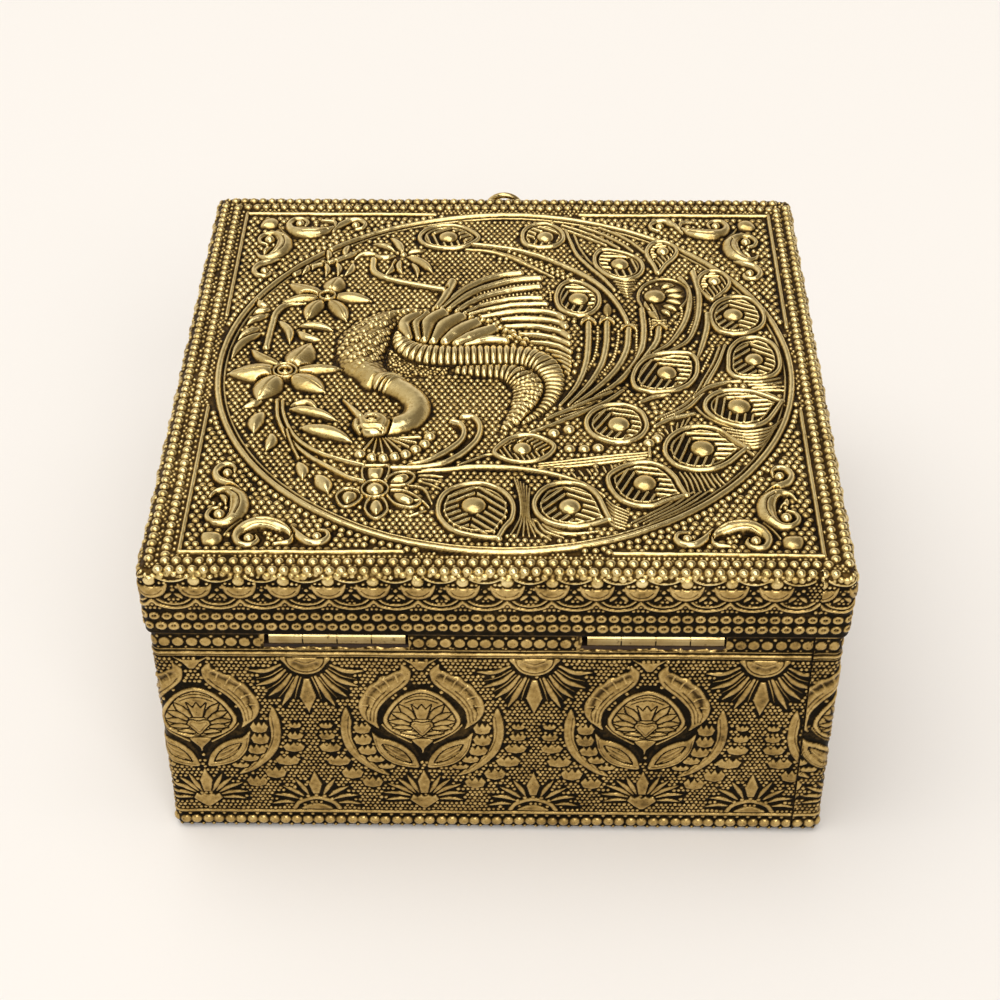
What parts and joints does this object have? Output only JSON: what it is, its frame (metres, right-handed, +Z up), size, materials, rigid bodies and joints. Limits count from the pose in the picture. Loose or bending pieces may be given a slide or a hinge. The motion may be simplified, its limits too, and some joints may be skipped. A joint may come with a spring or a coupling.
{
  "type": "hinged box",
  "caption": "Square wooden trinket box clad in embossed antiqued brass sheet, with a lid on small butt hinges and a wire hasp that drops over a staple.",
  "frame": {"origin": "on the table under the middle of the box", "axes": "+Z up, -Y to the clasp side, +Y to the hinge side, +X to the right seen from the clasp side"},
  "size_m": [0.1524, 0.1568, 0.082],
  "materials": {
    "embossed_brass": "antiqued, dark in the hollows, rubbed bright on the relief",
    "plain_brass": "drawn, lightly polished",
    "nail_brass": "dull",
    "brad_steel": "plain",
    "dark_wood": "stained, matt",
    "velvet": "short pile",
    "felt": "pressed felt"
  },
  "bodies": {
    "box_body": {"base_board": "dark_wood", "body_front_wall": "dark_wood", "body_back_wall": "dark_wood", "body_left_wall": "dark_wood", "body_right_wall": "dark_wood", "body_cladding": "embossed_brass", "base_felt": "felt", "lining_floor": "velvet", "lining_front": "velvet", "lining_back": "velvet", "lining_left": "velvet", "lining_right": "velvet", "hinge_left_body_leaf": "plain_brass", "hinge_right_body_leaf": "plain_brass", "hinge_left_pin": "plain_brass", "hinge_right_pin": "plain_brass", "body_hinge_nails": "nail_brass", "catch_plate": "plain_brass", "catch_staple": "plain_brass", "catch_nails": "nail_brass", "wall_brads": "brad_steel", "base_brads": "brad_steel"},
    "lid": {"lid_top_board": "dark_wood", "lid_front_rim": "dark_wood", "lid_back_rim": "dark_wood", "lid_left_rim": "dark_wood", "lid_right_rim": "dark_wood", "lid_top_cladding": "embossed_brass", "lid_rim_cladding": "embossed_brass", "lid_lining_top": "velvet", "lid_lining_front": "velvet", "lid_lining_back": "velvet", "lid_lining_left": "velvet", "lid_lining_right": "velvet", "hinge_left_lid_leaf": "plain_brass", "hinge_right_lid_leaf": "plain_brass", "lid_hinge_nails": "nail_brass", "hasp_plate": "plain_brass", "hasp_nails": "nail_brass", "lid_brads": "brad_steel"},
    "hasp": {"hasp_loop": "plain_brass"}
  },
  "joints": [
    {"name": "lid_hinge", "type": "hinge", "parent": "box_body", "child": "lid", "pos_m": [0, 0.0743, 0.06085], "axis": [-1, 0, 0], "range_deg": [0, 108]},
    {"name": "hasp_swing", "type": "hinge", "parent": "lid", "child": "hasp", "pos_m": [0, -0.07775, 0.0688], "axis": [1, 0, 0], "range_deg": [0, 182]}
  ]
}
